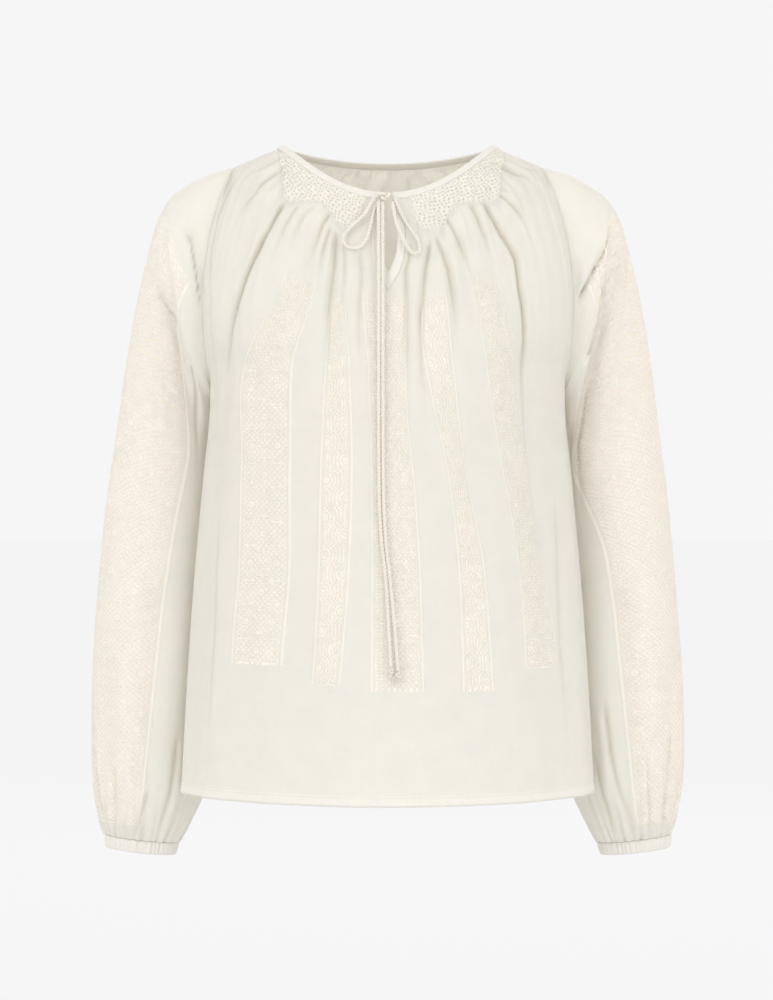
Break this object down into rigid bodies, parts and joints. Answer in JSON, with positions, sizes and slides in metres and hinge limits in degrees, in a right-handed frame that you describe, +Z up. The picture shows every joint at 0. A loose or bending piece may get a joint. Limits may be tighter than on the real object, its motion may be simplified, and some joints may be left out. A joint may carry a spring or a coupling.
{
  "type": "peasant blouse",
  "caption": "Hollow long-sleeved peasant blouse with a gathered round neck, a front slit, a tied cord with hanging ends, full sleeves and narrow cuffs.",
  "frame": {"origin": "The middle of the neck opening, level with the sides of the neck, where the wearer's neck and shoulders carry the blouse.", "axes": "+Z is up along the wearer, the front faces -Y, and +X is to the right as seen from the front."},
  "size_m": [0.588, 0.2607, 0.6946],
  "materials": {
    "voile": "sheer ivory cotton voile with tone-on-tone embroidery",
    "folded_voile": "folded ivory cotton voile",
    "twisted_cord": "twisted ivory cotton cord with a slight sheen"
  },
  "bodies": {
    "root": {"front_body": "voile", "back_body": "voile", "sleeve_left": "voile", "sleeve_right": "voile", "neck_binding": "folded_voile", "slit_facing": "folded_voile", "cuff_left": "folded_voile", "cuff_right": "folded_voile", "tie_knot": "twisted_cord", "tie_loop_left": "twisted_cord", "tie_loop_right": "twisted_cord", "tie_end_left": "twisted_cord", "tie_end_right": "twisted_cord", "end_knot_left": "twisted_cord", "end_knot_right": "twisted_cord"}
  },
  "joints": []
}
